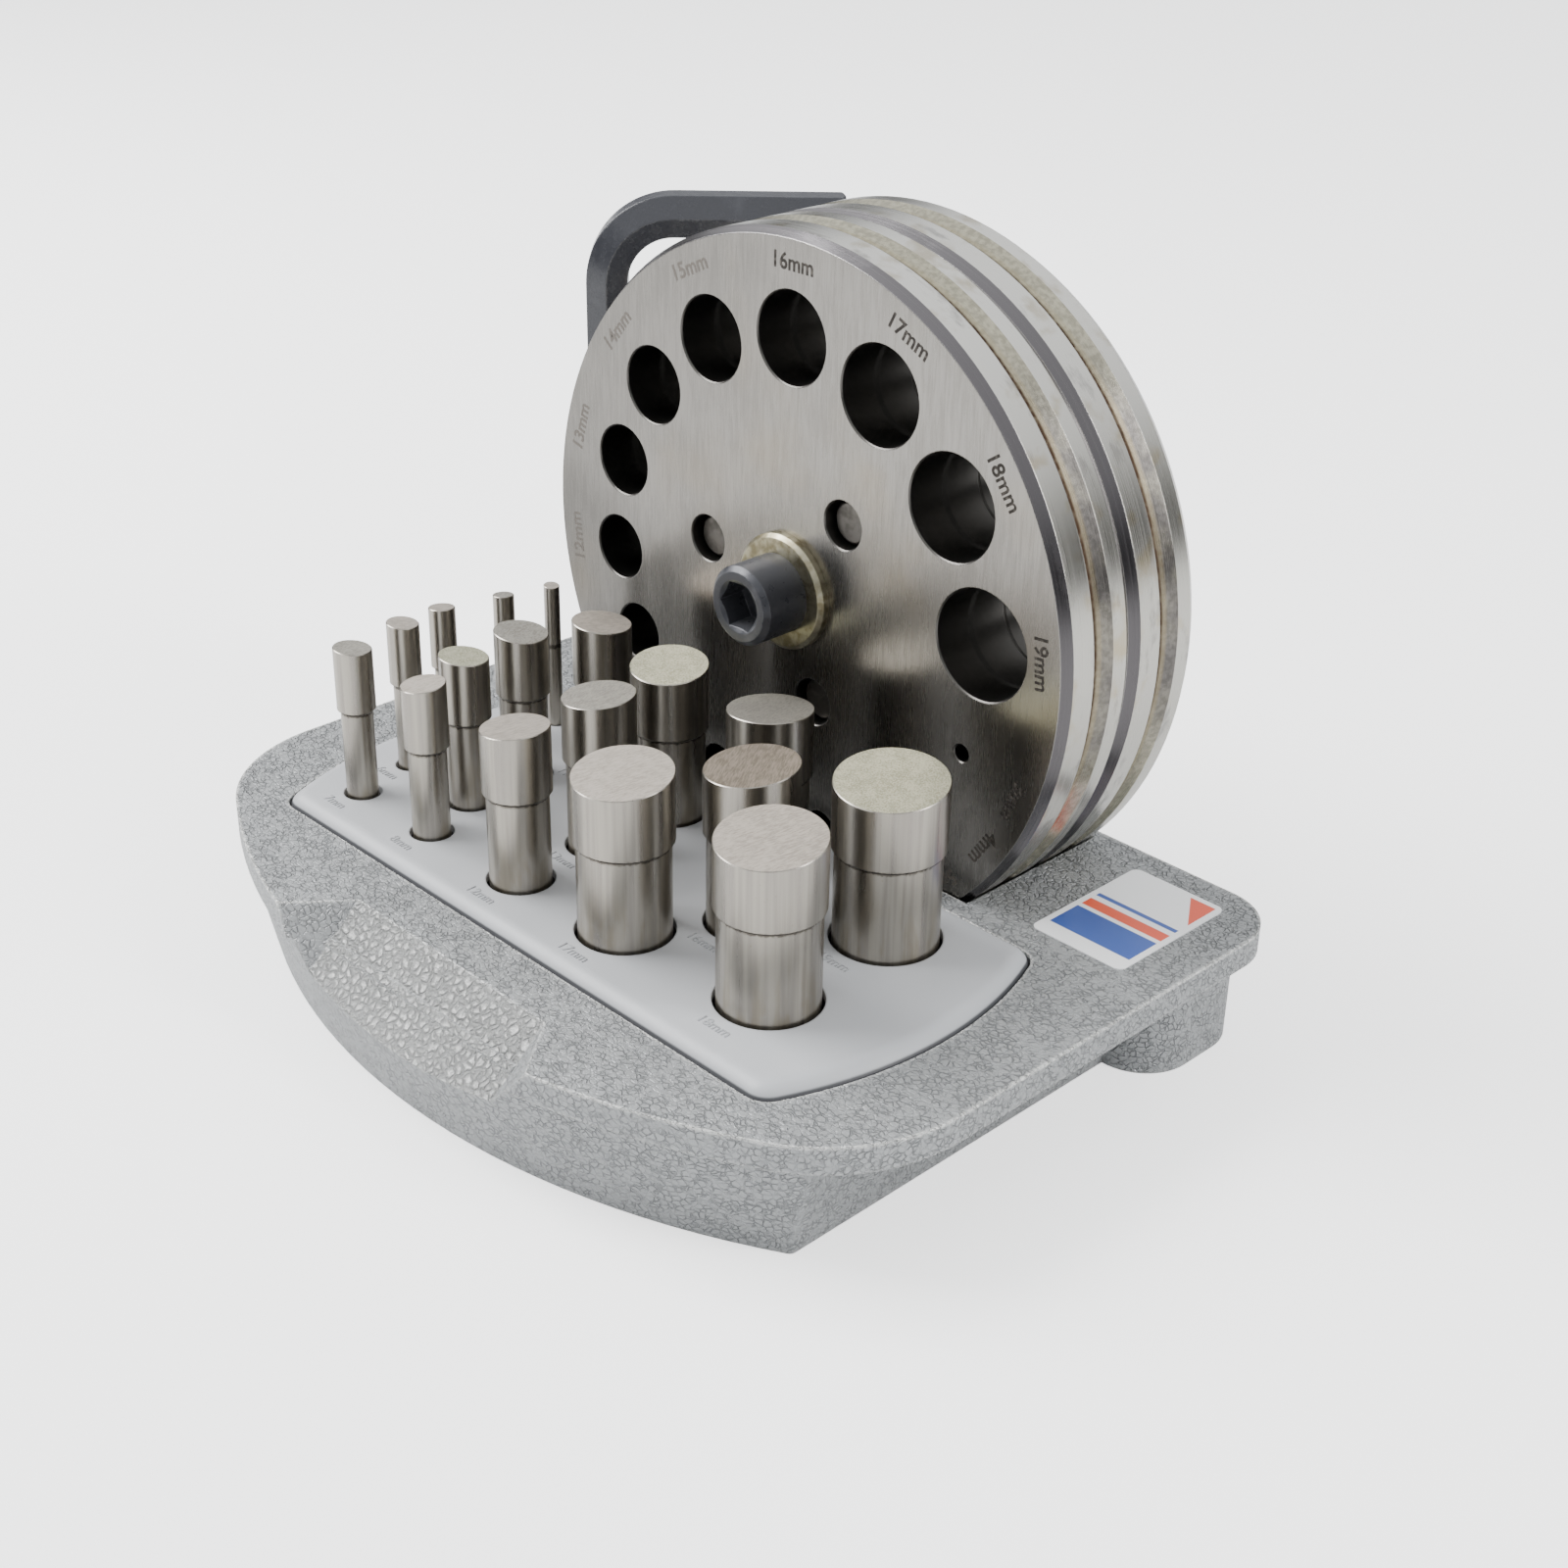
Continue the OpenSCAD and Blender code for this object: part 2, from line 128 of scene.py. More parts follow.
def ramp(tree: Tree, value: Socket, low: float, high: float, start: float = 0.0, end: float = 1.0) -> Socket:
    """Map a value smoothly from low..high to start..end, and hold it outside.

    Args:
        tree: The node tree.
        value: The socket to map.
        low: The value that gives start.
        high: The value that gives end.
        start: The result at low.
        end: The result at high.

    Returns:
        The mapped socket.
    """
    names = {"Value": value, "From Min": low, "From Max": high, "To Min": start, "To Max": end}
    return add(tree, "ShaderNodeMapRange", names, interpolation_type="SMOOTHSTEP").outputs["Result"]


def blend(tree: Tree, factor: object, first: object, second: object, mode: str = "MIX") -> Socket:
    """Mix two colours by a factor.

    Args:
        tree: The node tree.
        factor: The second colour's share, from 0 to 1.
        first: The first colour.
        second: The second colour.
        mode: How they are mixed, such as "MULTIPLY".

    Returns:
        The mixed colour's socket.
    """
    names = {"Factor": factor, "A": first, "B": second}
    node = tree.nodes.new("ShaderNodeMix")
    node.data_type = "RGBA"
    node.blend_type = mode
    sockets = {"Factor": node.inputs[0], "A": node.inputs[6], "B": node.inputs[7]}
    for name, value in names.items():
        if isinstance(value, bpy.types.NodeSocket):
            tree.links.new(value, sockets[name])
        else:
            sockets[name].default_value = value
    return node.outputs[2]


def toned(tree: Tree, colour: object, tone: Socket) -> Socket:
    """Multiply a colour by a grey tone, and return the result's socket."""
    tint = add(tree, "ShaderNodeCombineColor", {0: tone, 1: tone, 2: tone}).outputs[0]
    return blend(tree, 1.0, colour, tint, "MULTIPLY")


def choose(tree: Tree, factor: Socket, first: object, second: object) -> Socket:
    """Mix two numbers by a factor, and return the result's socket."""
    return add(tree, "ShaderNodeMix", {0: factor, 2: first, 3: second}).outputs[0]


def noise(tree: Tree, place: Socket, grain_mm: float, detail: float = 3.0, stretch: tuple = (1, 1, 1),
          roughness: float = 0.5) -> Socket:
    """Draw noise whose grain has a real size.

    Args:
        tree: The node tree.
        place: The coordinates, in metres.
        grain_mm: The size of one grain, in millimetres.
        detail: The number of finer layers.
        stretch: How many times longer a grain is along X, Y and Z.
        roughness: How strong the finer layers are.

    Returns:
        The noise, from 0 to 1.
    """
    scale = tuple(1 / (grain_mm * MM * s) for s in stretch)
    spread = vector(tree, "MULTIPLY", {0: place, 1: scale})
    links = {"Vector": spread, "Scale": 1.0, "Detail": detail, "Roughness": roughness}
    return add(tree, "ShaderNodeTexNoise", links).outputs[0]


def cells(tree: Tree, place: Socket, size_mm: float, warp_mm: float, stretch: tuple = (1, 1, 1)) -> Socket:
    """Draw a pattern of irregular cells, like dried paint.

    Args:
        tree: The node tree.
        place: The coordinates, in metres.
        size_mm: The size of one cell, in millimetres.
        warp_mm: How far the borders wander from straight, in millimetres.
        stretch: The coordinates' factors along X, Y and Z.

    Returns:
        The distance to the nearest border, in cell sizes.
    """
    wander_mm = 1.3 * size_mm  # a little larger than a cell, so borders bend only gently
    links = {"Vector": place, "Scale": 1 / (wander_mm * MM), "Detail": 2.0}
    wander = add(tree, "ShaderNodeTexNoise", links).outputs["Color"]
    middle = vector(tree, "SUBTRACT", {0: wander, 1: (0.5, 0.5, 0.5)})
    shift = vector(tree, "SCALE", {0: middle, "Scale": warp_mm * MM})
    moved = vector(tree, "ADD", {0: place, 1: shift})
    scaled = vector(tree, "MULTIPLY", {0: moved, 1: stretch})
    links = {"Vector": scaled, "Scale": 1 / (size_mm * MM)}
    return add(tree, "ShaderNodeTexVoronoi", links, feature="DISTANCE_TO_EDGE").outputs["Distance"]


@dataclass
class Shader:
    """One new material, with the parts that every finish here starts from."""

    name: str
    tree: Tree = field(init=False)
    surface: Node = field(init=False)
    place: Socket = field(init=False)
    axes: list[Socket] = field(init=False)
    facing: list[Socket] = field(init=False)
    material: bpy.types.Material = field(init=False)

    def __post_init__(self) -> None:
        """Make the material with its surface shader and its object coordinates."""
        self.material = bpy.data.materials.new(self.name)
        self.material.use_nodes = True
        self.tree = self.material.node_tree
        self.surface = self.tree.nodes["Principled BSDF"]
        coordinates = add(self.tree, "ShaderNodeTexCoord")
        self.place = coordinates.outputs["Object"]
        self.axes = list(add(self.tree, "ShaderNodeSeparateXYZ", {0: self.place}).outputs)
        normal = coordinates.outputs["Normal"]
        self.facing = list(add(self.tree, "ShaderNodeSeparateXYZ", {0: normal}).outputs)

    def put(self, socket: str, value: object) -> None:
        """Set or link one socket of the surface shader.

        Args:
            socket: The socket's name.
            value: A socket to link or a plain value.
        """
        if isinstance(value, bpy.types.NodeSocket):
            self.tree.links.new(value, self.surface.inputs[socket])
        else:
            self.surface.inputs[socket].default_value = value

    def rounded(self, radius_mm: float) -> Socket:
        """Return the surface's normal with its edges rounded."""
        radius = {"Radius": radius_mm * MM}
        return add(self.tree, "ShaderNodeBevel", radius, samples=BEVEL_SAMPLES).outputs[0]

    def edges(self, radius_mm: float) -> Socket:
        """Find the mesh's sharp edges.

        Args:
            radius_mm: How far from an edge it still counts, in millimetres.

        Returns:
            1 along the sharp edges and 0 away from them.
        """
        flat = add(self.tree, "ShaderNodeNewGeometry").outputs["True Normal"]
        links = {0: self.rounded(radius_mm), 1: flat}
        agree = add(self.tree, "ShaderNodeVectorMath", links, operation="DOT_PRODUCT").outputs["Value"]
        return ramp(self.tree, agree, 0.84, 0.99, 1.0, 0.0)

    def relief(self, height: Socket, depth_mm: float, edge_mm: float = 0.0) -> None:
        """Give the surface a relief, and round its edges.

        Args:
            height: The relief's height, from 0 to 1.
            depth_mm: The depth that a height of 1 stands for, in millimetres.
            edge_mm: The radius of the rounded edges, in millimetres, or 0.
        """
        links = {"Height": height, "Distance": depth_mm * MM, "Strength": 1.0}
        if edge_mm > 0:
            links["Normal"] = self.rounded(edge_mm)
        self.put("Normal", add(self.tree, "ShaderNodeBump", links).outputs[0])

    def near(self, value: Socket, middle_mm: float, reach_mm: float) -> Socket:
        """Return 1 where a coordinate is at a place and 0 past its reach."""
        away = calc(self.tree, "ABSOLUTE", minus(self.tree, value, middle_mm * MM))
        return ramp(self.tree, away, reach_mm * MM * 0.4, reach_mm * MM, 1.0, 0.0)


# ---------------------------------------------------------------- finishes


class Slot(Enum):
    """The record's material slots."""

    IRON = "iron"
    LABEL = "label"
    PLASTIC = "plastic"
    PLATE_STEEL = "plate_steel"
    PIN_STEEL = "pin_steel"
    ZINC = "zinc"
    BLACK_STEEL = "black_steel"
    PUNCH_STEEL = "punch_steel"


@dataclass(frozen=True)
class HammeredEnamel:
    """Wrinkled stoving enamel, sprayed on rough cast iron.

    The paint draws up into fine wrinkles, and the creases between them are
    painted darker as shade. Its aluminium flake gives a dull metallic lustre. The
    plaque's floor was cast rougher and carries more of the bright flake, with its
    crests painted lighter and its hollows darker as light and shade. The flange's
    upper edges carry worn paint and a painted highlight.
    """

    crest: str = "#a0a2a3"
    crease: str = "#6a6c6e"
    plaque_crest: str = "#dededc"
    plaque_valley: str = "#989998"
    rubbed_and_highlight: str = "#efefeb"
    wrinkle_mm: float = 1.0
    depth_mm: float = 0.36
    plaque_half_w_mm: float = 25.0
    plaque_y_mm: float = -58.5
    plaque_slope_deg: float = 41.5

    def plaque(self, shader: Shader) -> Socket:
        """Find the sloping floor of the plaque.

        Args:
            shader: The enamel's shader.

        Returns:
            1 on the plaque's floor and 0 elsewhere.
        """
        tree = shader.tree
        slope = math.radians(self.plaque_slope_deg)
        across = calc(tree, "ABSOLUTE", shader.axes[0])
        inside = calc(tree, "LESS_THAN", across, (self.plaque_half_w_mm + 0.1) * MM)
        tilt = times(tree, shader.facing[1], -math.sin(slope))
        upright = times(tree, shader.facing[2], math.cos(slope))
        sloping = calc(tree, "GREATER_THAN", plus(tree, tilt, upright), 0.9)
        front = calc(tree, "LESS_THAN", shader.axes[1], (self.plaque_y_mm - 0.1) * MM)
        return times(tree, times(tree, inside, sloping), front)

    def build(self) -> bpy.types.Material:
        """Build the enamel.

        Returns:
            The new material.
        """
        shader = Shader("hammered_grey_enamel")
        tree = shader.tree
        plaque = self.plaque(shader)
        border = cells(tree, shader.place, self.wrinkle_mm, 0.9, (0.8, 1, 1))
        drawn = ramp(tree, noise(tree, shader.place, 1.6, 2.0), 0.38, 0.58, 0.25, 1.0)
        crease = times(tree, ramp(tree, border, 0.0, 0.16, 1.0, 0.0), drawn)
        fine = noise(tree, shader.place, 0.8, 3.0, roughness=0.6)
        pebble = ramp(tree, cells(tree, shader.place, 1.5, 1.6), 0.0, 0.3)
        smooth_height = minus(tree, times(tree, fine, 0.6), times(tree, crease, 0.9))
        rough_height = plus(tree, times(tree, pebble, 1.7), times(tree, fine, 2.6))
        height = choose(tree, plaque, smooth_height, rough_height)
        # Painted shade: the creases and the low spots of the fine relief are coloured darker.
        paint = blend(tree, times(tree, crease, 0.5), linear(self.crest), linear(self.crease))
        paint = blend(tree, ramp(tree, fine, 0.3, 0.42, 0.3, 0.0), paint, linear(self.crease))
        # Bright flake with painted light and shade: on the plaque the relief's crests are coloured lighter
        # and its hollows darker.
        flake = blend(tree, times(tree, pebble, ramp(tree, fine, 0.35, 0.6, 0.4, 1.0)),
                      linear(self.plaque_valley), linear(self.plaque_crest))
        colour = blend(tree, plaque, paint, flake)
        shade = ramp(tree, noise(tree, shader.place, 14.0, 3.0), 0.3, 0.7, 0.97, 1.03)
        colour = toned(tree, colour, shade)
        # Worn paint and a painted highlight: the flange's sharp upper edges are coloured bright.
        broken = ramp(tree, fine, 0.4, 0.52, 0.35, 1.0)
        upper = ramp(tree, shader.axes[2], 20.5 * MM, 22.5 * MM, 0.3, 1.0)
        rim = times(tree, times(tree, shader.edges(1.2), broken), upper)
        shader.put("Base Color", blend(tree, rim, colour, linear(self.rubbed_and_highlight)))
        shader.put("Metallic", 0.35)
        shader.put("Roughness", ramp(tree, fine, 0.3, 0.7, 0.52, 0.36))
        shader.relief(height, self.depth_mm, edge_mm=0.7)
        return shader.material


@dataclass(frozen=True)
class GroundPlateSteel:
    """Hardened tool steel: a ground face, turned rims and honed holes.

    Grinding leaves a fine upright grain on the faces. The rims are turned, so
    their grain runs round, with a dark brown line along the bottoms of the grooves.
    The holes are painted darker inside, as shade, and the face and rims carry
    painted reflections in their colour.
    """

    face: str = "#918e89"
    face_dark: str = "#83807b"
    rim: str = "#b4b2ab"
    rim_top_highlight: str = "#e4e2dc"
    ridge_highlight: str = "#f2f0ea"
    smudge_and_shade: str = "#5f5c5b"
    slope: str = "#bdb8a4"
    chamfer_dark_reflection: str = "#726f71"
    bore_shade: str = "#5b5956"
    groove_line: str = "#3d2f25"
    oil: str = "#a3936c"
    film: str = "#8f8573"
    front_mm: float = 17.0
    plate_mm: float = 16.8
    axis_mm: float = 66.5
    rim_r_mm: float = 61.3
    groove_mm: float = 8.0

    def build(self) -> bpy.types.Material:
        """Build the plate steel.

        Returns:
            The new material.
        """
        shader = Shader("ground_and_turned_tool_steel")
        tree = shader.tree
        x, y, z = shader.axes
        rise = minus(tree, z, self.axis_mm * MM)
        radius = calc(tree, "SQRT", plus(tree, times(tree, x, x), times(tree, rise, rise)))
        on_face = ramp(tree, calc(tree, "ABSOLUTE", shader.facing[1]), 0.75, 0.9)
        outside = ramp(tree, radius, (self.rim_r_mm - 1.0) * MM, self.rim_r_mm * MM)
        in_hole = times(tree, minus(tree, 1.0, on_face), minus(tree, 1.0, outside))
        grain = noise(tree, shader.place, 0.3, 3.0, (1, 1, 18))
        streak = noise(tree, shader.place, 1.1, 2.0, (1, 1, 7))
        cloud = noise(tree, shader.place, 16.0, 4.0)
        broad_tone = plus(tree, times(tree, streak, 0.25), times(tree, cloud, 0.3))
        face_tone = plus(tree, times(tree, grain, 0.45), broad_tone)
        bare = blend(tree, ramp(tree, face_tone, 0.33, 0.66), linear(self.face_dark), linear(self.face))
        filmed = ramp(tree, noise(tree, shader.place, 26.0, 3.0), 0.5, 0.75, 0.0, 0.45)
        face = blend(tree, filmed, bare, linear(self.film))
        # Painted shade: the face is coloured darker towards the upper left and past a slanting line low on
        # the right, for the darker surroundings it mirrors.
        upper_left = minus(tree, rise, times(tree, x, 1.2))
        low_right = plus(tree, rise, times(tree, x, 0.38))
        shade = times(tree, ramp(tree, upper_left, -10 * MM, 100 * MM, 1.0, 0.74),
                      ramp(tree, low_right, -22 * MM, -6 * MM, 0.72, 1.0))
        face = toned(tree, face, shade)
        turned = noise(tree, shader.place, 0.22, 2.0, (400, 1, 400))
        stain = ramp(tree, noise(tree, shader.place, 7.0, 3.0), 0.52, 0.72, 0.0, 0.55)
        handled = ramp(tree, noise(tree, shader.place, 9.0, 5.0, (1, 0.5, 1), 0.6), 0.55, 0.7, 0.0, 0.5)
        # Painted reflection: the sloping faces darken to the smudge colour in a band round mid-height. The
        # same colour also marks real handling smudges.
        level = calc(tree, "ABSOLUTE", minus(tree, rise, 14 * MM))
        mid_height_shade = times(tree, ramp(tree, level, 22 * MM, 38 * MM, 0.95, 0.0),
                       ramp(tree, noise(tree, shader.place, 6.0, 3.0), 0.3, 0.6, 0.8, 1.0))
        # Painted reflection: the rim is coloured lighter towards its top.
        clean = blend(tree, ramp(tree, rise, 25 * MM, 58 * MM), linear(self.rim), linear(self.rim_top_highlight))
        flat = blend(tree, handled, blend(tree, stain, clean, linear(self.oil)), linear(self.smudge_and_shade))
        mottle = ramp(tree, noise(tree, shader.place, 0.9, 4.0), 0.35, 0.65, 0.75, 1.05)
        sloped = toned(tree, blend(tree, mid_height_shade, linear(self.slope), linear(self.smudge_and_shade)), mottle)
        # Painted reflection: faces that slope forwards take the lighter slope colour, a lit copy of the rim's
        # steel.
        rim = blend(tree, ramp(tree, shader.facing[1], -0.35, -0.15, 1.0, 0.0), flat, sloped)
        # Painted reflection and shade: the chamfer is coloured dark, lighter towards the upper left and
        # darker to the right.
        side_shade = ramp(tree, minus(tree, rise, x), -40 * MM, 60 * MM, 0.6, 1.25)
        broken_edge = toned(tree, linear(self.chamfer_dark_reflection), side_shade)
        rim = blend(tree, ramp(tree, shader.facing[1], -0.48, -0.42, 1.0, 0.0), rim, broken_edge)
        # Painted highlight: the sharp edges of the turned ridges are coloured bright.
        rim = blend(tree, times(tree, shader.edges(0.3), 0.55), rim, linear(self.ridge_highlight))
        depth = calc(tree, "MODULO", minus(tree, y, self.front_mm * MM), self.plate_mm * MM)
        groove = shader.near(depth, self.groove_mm + 0.3, 0.9)
        gold = shader.near(depth, self.groove_mm + 0.9, 1.1)
        # A dark brown line, broken up, along the bottom of each groove.
        groove_line_break = ramp(tree, noise(tree, shader.place, 1.2, 3.0), 0.3, 0.6, 0.7, 1.0)
        rim = blend(tree, times(tree, gold, 0.3), rim, linear(self.oil))
        groove_lined = blend(tree, times(tree, groove, groove_line_break), rim, linear(self.groove_line))
        # Painted shade: the holes' bores are coloured darker than the steel.
        colour = blend(tree, in_hole, blend(tree, on_face, groove_lined, face), linear(self.bore_shade))
        shader.put("Base Color", colour)
        shader.put("Metallic", 1.0)
        face_rough = ramp(tree, face_tone, 0.3, 0.7, 0.3, 0.24)
        rim_rough = plus(tree, ramp(tree, turned, 0.3, 0.7, 0.2, 0.28), times(tree, handled, 0.15))
        roughness = choose(tree, on_face, rim_rough, face_rough)
        roughness = choose(tree, in_hole, roughness, 0.32)
        shader.put("Roughness", plus(tree, roughness, times(tree, groove, 0.3)))
        height = choose(tree, on_face, turned, grain)
        shader.relief(height, 0.0015, edge_mm=0.25)
        return shader.material


class GroundEnd(Enum):
    """How a punch's end was ground: light and dark tone, the wheel's direction and a scratch's length."""

    CREAM = ("#cbc9b3", "#a6a48d", 20.0, 1.0)
    PALE = ("#c4bcb2", "#aaa298", 105.0, 5.0)
    BROWN = ("#9a9084", "#7d7468", 58.0, 7.0)
    GREY = ("#b3afa6", "#96928a", 75.0, 3.0)


@dataclass(frozen=True)
class PunchSteel:
    """Hardened silver steel: centreless-ground sides and a wheel-ground end.

    The sides mirror the room in soft upright bands, painted into their colour.
    The ends are dull, with straight scratches. Under the head's step a dark brown
    band is painted as oil and shade, and lower on the shank the colour turns oily
    and darker, partly oil smears and partly painted shade.
    """

    side: str = "#a8a399"
    side_dark: str = "#96918a"
    oil: str = "#83775f"
    grime_and_shade: str = "#3a342d"
    end: GroundEnd = GroundEnd.PALE
    top_mm: float = 53.8
    head_mm: float = 11.7

    def build(self) -> bpy.types.Material:
        """Build the punch steel for one kind of ground end.

        Returns:
            The new material.
        """
        light, dark, degrees, length = self.end.value
        shader = Shader(f"ground_silver_steel_{self.end.name.lower()}")
        tree = shader.tree
        on_end = ramp(tree, shader.facing[2], 0.8, 0.95)
        turn = add(tree, "ShaderNodeMapping",
                   {"Vector": shader.place, "Rotation": Euler((0, 0, math.radians(degrees)))})
        scratch = noise(tree, turn.outputs[0], 0.3, 4.0, (length, 1, 1), 0.7)
        blotch = noise(tree, shader.place, 2.4, 4.0)
        end_tone = plus(tree, times(tree, scratch, 0.75), times(tree, blotch, 0.25))
        end = blend(tree, ramp(tree, end_tone, 0.4, 0.58), linear(dark), linear(light))
        streak = noise(tree, shader.place, 1.1, 3.0, (1, 1, 40))
        pit = ramp(tree, noise(tree, shader.place, 0.5, 3.0), 0.66, 0.74, 0.0, 0.5)
        # Oil with painted shade: a dark brown band just under the head's step, and oil colour spreading over
        # the shank further down.
        depth = minus(tree, (self.top_mm - self.head_mm) * MM, shader.axes[2])
        drip = times(tree, noise(tree, shader.place, 0.6, 3.0), 0.9 * MM)
        from_step = calc(tree, "ABSOLUTE", minus(tree, depth, drip))
        under_step = ramp(tree, from_step, 0.2 * MM, 0.6 * MM, 0.9, 0.0)
        smear = ramp(tree, noise(tree, shader.place, 2.4, 3.0, (1, 1, 4)), 0.42, 0.65)
        grime_and_shade = ramp(tree, depth, 1.0 * MM, 17.0 * MM, 0.0, 0.5)
        oil_and_low_shade = calc(tree, "MAXIMUM", times(tree, pit, smear), times(tree, grime_and_shade, smear))
        # Painted reflection: upright bands of lighter and darker colour on the sides.
        side = blend(tree, ramp(tree, streak, 0.35, 0.65), linear(self.side_dark), linear(self.side))
        side = blend(tree, times(tree, oil_and_low_shade, 0.8), side, linear(self.oil))
        side = blend(tree, times(tree, under_step, 0.8), side, linear(self.grime_and_shade))
        shader.put("Base Color", blend(tree, on_end, side, end))
        shader.put("Metallic", 1.0)
        side_rough = plus(tree, ramp(tree, streak, 0.3, 0.7, 0.27, 0.31), times(tree, oil_and_low_shade, 0.1))
        end_rough = ramp(tree, end_tone, 0.3, 0.7, 0.62, 0.5)
        shader.put("Roughness", choose(tree, on_end, side_rough, end_rough))
        shader.relief(choose(tree, on_end, times(tree, pit, -0.5), scratch), 0.025)
        return shader.material


@dataclass(frozen=True)
class BlackOxide:
    """Black-oxidised alloy steel, a little oily, worn bright on its edges, and painted lighter on its upward
    faces as sheen.
    """

    name: str = "black_oxide_steel"
    black: str = "#35363b"
    worn: str = "#7b7c80"
    roughness: float = 0.34
    edge_mm: float = 0.35
    metallic: float = 0.3

    def build(self) -> bpy.types.Material:
        """Build the black finish.

        Returns:
            The new material.
        """
        shader = Shader(self.name)
        tree = shader.tree
        mottle = noise(tree, shader.place, 1.6, 4.0)
        rub = ramp(tree, noise(tree, shader.place, 5.0, 4.0), 0.5, 0.8, 0.0, 0.25)
        speck = ramp(tree, noise(tree, shader.place, 0.4, 2.0), 0.7, 0.78, 0.0, 0.25)
        edge = times(tree, shader.edges(self.edge_mm), ramp(tree, mottle, 0.38, 0.62, 0.15, 0.8))
        # Painted sheen: faces that look upwards are coloured lighter; bare mixes this with the real wear.
        top_sheen = ramp(tree, shader.facing[2], 0.4, 0.9, 0.0, 0.3)
        bare = calc(tree, "MAXIMUM", calc(tree, "MAXIMUM", rub, speck), calc(tree, "MAXIMUM", edge, top_sheen))
        shader.put("Base Color", blend(tree, bare, linear(self.black), linear(self.worn)))
        shader.put("Metallic", self.metallic)
        shader.put("Roughness", ramp(tree, mottle, 0.3, 0.7, self.roughness - 0.07, self.roughness + 0.08))
        shader.relief(mottle, 0.03, edge_mm=self.edge_mm)
        return shader.material


@dataclass(frozen=True)
class ZincPlate:
    """Yellow-passivated zinc on a punched and tumbled washer."""

    bright: str = "#aba690"
    dull: str = "#7c745c"

    def build(self) -> bpy.types.Material:
        """Build the zinc plate.

        Returns:
            The new material.
        """
        shader = Shader("passivated_zinc_plate")
        tree = shader.tree
        tone = noise(tree, shader.place, 2.0, 4.0)
        patches = ramp(tree, tone, 0.35, 0.65)
        shader.put("Base Color", blend(tree, patches, linear(self.dull), linear(self.bright)))
        shader.put("Metallic", 1.0)
        shader.put("Roughness", ramp(tree, tone, 0.3, 0.7, 0.42, 0.3))
        shader.relief(tone, 0.02, edge_mm=0.3)
        return shader.material


@dataclass(frozen=True)
class PinSteel:
    """Hardened dowel steel with a rough-cut end."""

    bright: str = "#65625e"
    dark: str = "#575450"

    def build(self) -> bpy.types.Material:
        """Build the pin steel.

        Returns:
            The new material.
        """
        shader = Shader("dowel_pin_steel")
        tree = shader.tree
        tone = noise(tree, shader.place, 1.8, 3.0)
        patches = ramp(tree, tone, 0.35, 0.65)
        shader.put("Base Color", blend(tree, patches, linear(self.dark), linear(self.bright)))
        shader.put("Metallic", 1.0)
        shader.put("Roughness", ramp(tree, tone, 0.3, 0.7, 0.5, 0.36))
        shader.relief(tone, 0.01, edge_mm=0.3)
        return shader.material


@dataclass(frozen=True)
class MouldedPlastic:
    """Injection-moulded ABS with a fine satin mould surface."""

    colour: str = "#b6b8bb"
    seam_shadow: str = "#4c4d50"
    seam_mm: float = 23.1
    name: str = "moulded_abs"

    def build(self) -> bpy.types.Material:
        """Build the plastic.

        Returns:
            The new material.
        """
        shader = Shader(self.name)
        tree = shader.tree
        satin = noise(tree, shader.place, 0.3, 2.0)
        broad = noise(tree, shader.place, 22.0, 2.0)
        shade = ramp(tree, broad, 0.3, 0.7, 0.97, 1.02)
        clean = toned(tree, linear(self.colour), shade)
        # Painted shade: a thin dark band along the rack's foot, for the contact shadow where it meets the
        # casting.
        height = minus(tree, shader.axes[2], self.seam_mm * MM)
        seam_shade = ramp(tree, height, 0.05 * MM, 0.45 * MM, 1.0, 0.0)
        shader.put("Base Color", blend(tree, seam_shade, clean, linear(self.seam_shadow)))
        shader.put("Roughness", ramp(tree, satin, 0.3, 0.7, 0.4, 0.48))
        shader.put("IOR", 1.53)
        shader.relief(satin, 0.008, edge_mm=0.5)
        return shader.material


